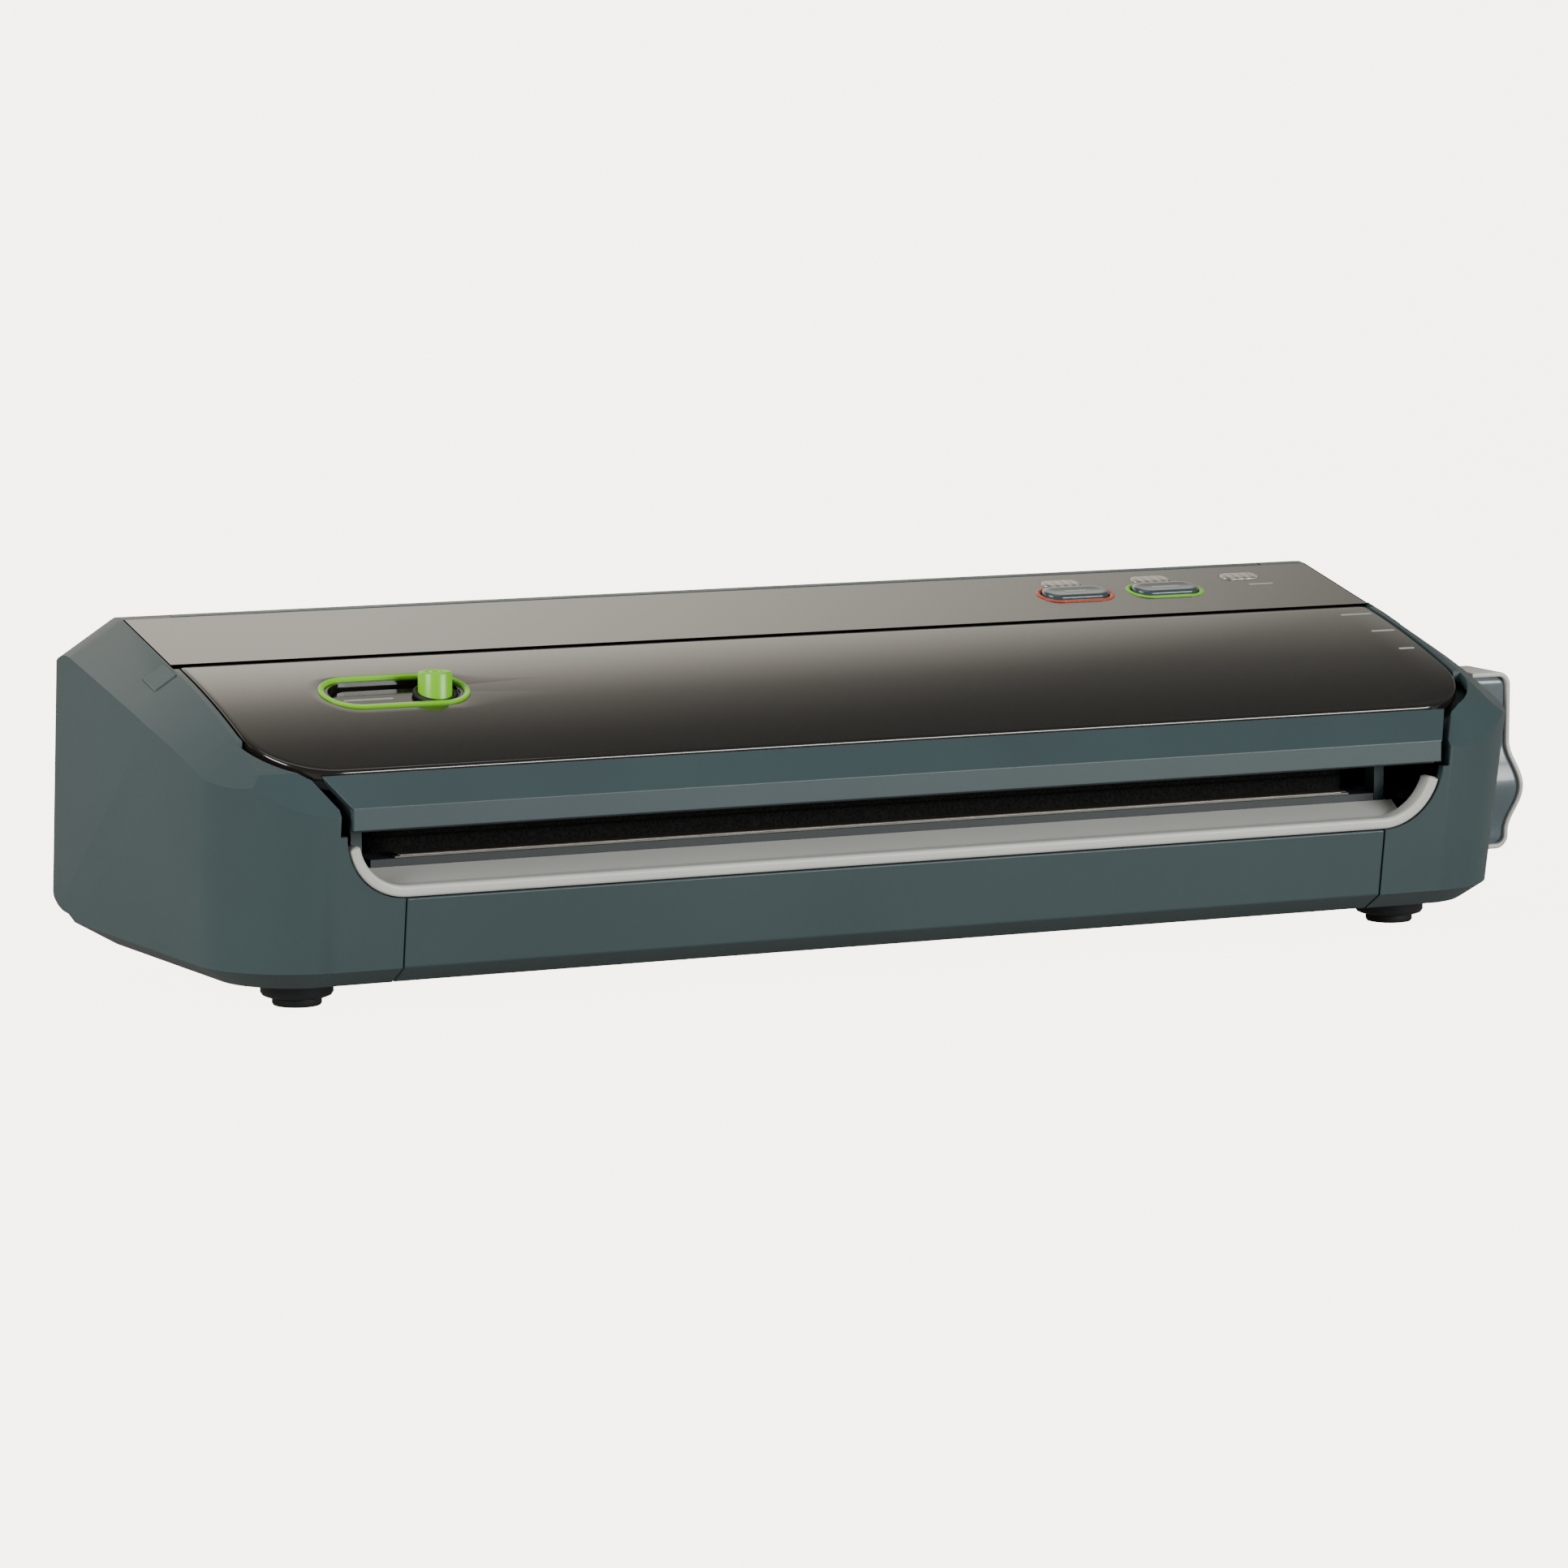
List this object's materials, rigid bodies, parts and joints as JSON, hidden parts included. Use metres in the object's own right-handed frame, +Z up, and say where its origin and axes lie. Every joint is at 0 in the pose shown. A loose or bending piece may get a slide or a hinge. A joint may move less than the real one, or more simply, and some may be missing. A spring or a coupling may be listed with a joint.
{
  "type": "vacuum sealer",
  "caption": "Counter-top bag vacuum sealer with a hinged gloss lid, solid end cheeks, a drip tray, two push buttons, an accessory port and a side lever.",
  "frame": {"origin": "on the table plane under the rubber feet, on the centre line of the housing, 61 mm behind the foot of the front wall", "axes": "+X to the right of someone facing the mouth, +Y to the rear, +Z up"},
  "size_m": [0.4086, 0.1378, 0.0927],
  "materials": {
    "bar": "satin",
    "black_part": "satin",
    "board": "satin",
    "brass": "satin",
    "button": "gloss",
    "core": "satin",
    "dark_plastic": "satin",
    "foam": "satin",
    "gloss_dark": "gloss",
    "green": "gloss",
    "lamp": "satin",
    "lens": "satin",
    "lever_grey": "gloss",
    "light_plastic": "satin",
    "red": "gloss",
    "rubber": "satin",
    "slate": "satin",
    "steel": "satin",
    "strip": "satin",
    "tape": "satin",
    "tube": "satin",
    "winding": "satin"
  },
  "bodies": {
    "housing": {"base_pan": "dark_plastic", "left_cheek": "slate", "right_cheek": "slate", "front_panel": "slate", "rear_cover": "slate", "control_panel": "gloss_dark", "seal_ring": "red", "vac_ring": "green", "indicator_lenses": "lens", "control_board": "board", "tact_switches": "black_part", "indicator_lamps": "lamp", "deck": "dark_plastic", "tray": "light_plastic", "trough": "dark_plastic", "lower_gasket": "foam", "heat_bar": "bar", "heat_strip": "strip", "release_tape": "tape", "pump_motor": "steel", "pump_head": "black_part", "motor_bracket": "steel", "vacuum_hose": "tube", "transformer_core": "core", "transformer_coil": "winding", "power_board": "board", "foot_flanges": "black_part", "rubber_feet": "rubber", "pin_plugs": "slate", "base_screws": "steel", "cord_gland": "black_part"},
    "lid": {"lid_cover": "gloss_dark", "front_flap": "slate", "lid_frame": "dark_plastic", "upper_gasket": "foam", "pressure_strip": "rubber", "port_ring": "green", "port_cup": "gloss_dark", "port_nozzle": "green", "nozzle_seal": "rubber", "port_duct": "tube", "hinge_pins": "steel", "latch_posts": "slate"},
    "lever": {"lever_core": "lever_grey", "lever_rim": "light_plastic", "lever_shaft": "steel"},
    "latch": {"latch_bar": "steel"},
    "seal_key": {"seal_button": "button"},
    "vac_key": {"vac_button": "button"},
    "rotor": {"pump_rotor": "brass"}
  },
  "joints": [
    {"name": "lid_hinge", "type": "hinge", "parent": "housing", "child": "lid", "pos_m": [0, 0.00729, 0.07813], "axis": [-1, 0, 0], "range_deg": [0, 45]},
    {"name": "lever_turn", "type": "hinge", "parent": "housing", "child": "lever", "pos_m": [0.1964, -0.013, 0.0336], "axis": [1, 0, 0], "range_deg": [-22, 22]},
    {"name": "latch_slide", "type": "slide", "parent": "housing", "child": "latch", "axis": [0, 1, 0], "range_m": [-0.00288, 0.00288]},
    {"name": "seal_press", "type": "slide", "parent": "housing", "child": "seal_key", "axis": [0, 0.225, -0.9744], "range_m": [0, 0.0012], "stiffness_N_per_m": 900},
    {"name": "vac_press", "type": "slide", "parent": "housing", "child": "vac_key", "axis": [0, 0.225, -0.9744], "range_m": [0, 0.0012], "stiffness_N_per_m": 900},
    {"name": "rotor_spin", "type": "hinge", "parent": "housing", "child": "rotor", "pos_m": [-0.09, 0.032, 0.036], "axis": [1, 0, 0], "continuous": true}
  ],
  "couplings": [
    {"joint": "latch_slide", "follows": "lever_turn", "m_per_rad": 0.0075}
  ]
}
